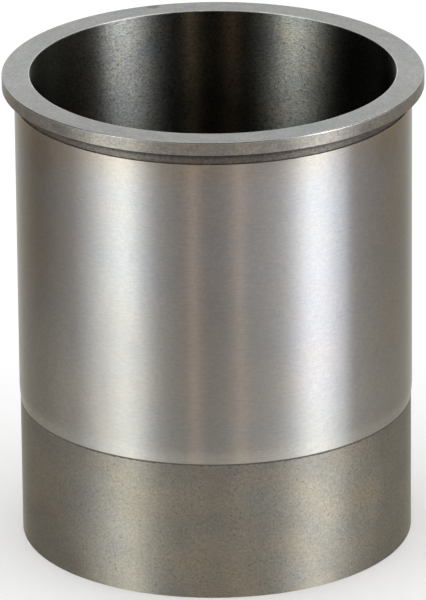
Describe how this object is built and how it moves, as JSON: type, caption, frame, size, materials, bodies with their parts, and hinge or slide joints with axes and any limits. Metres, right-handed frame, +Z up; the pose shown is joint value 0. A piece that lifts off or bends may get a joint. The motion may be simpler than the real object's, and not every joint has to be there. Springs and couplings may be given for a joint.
{
  "type": "cylinder liner",
  "caption": "Flanged iron cylinder liner: a plain honed bore in a thin-walled tube with a seating flange, relief groove, ground barrel and plain lower skirt.",
  "frame": {"origin": "centre of the lower end of the bore, on the surface that the liner stands on", "axes": "+Z up along the bore axis, from the plain skirt to the flange; X and Y are any pair across it"},
  "size_m": [0.1152, 0.1152, 0.133],
  "materials": {
    "liner_iron": "ground barrel, turned flange and skirt, honed bore"
  },
  "bodies": {
    "root": {"liner": "liner_iron"}
  },
  "joints": []
}
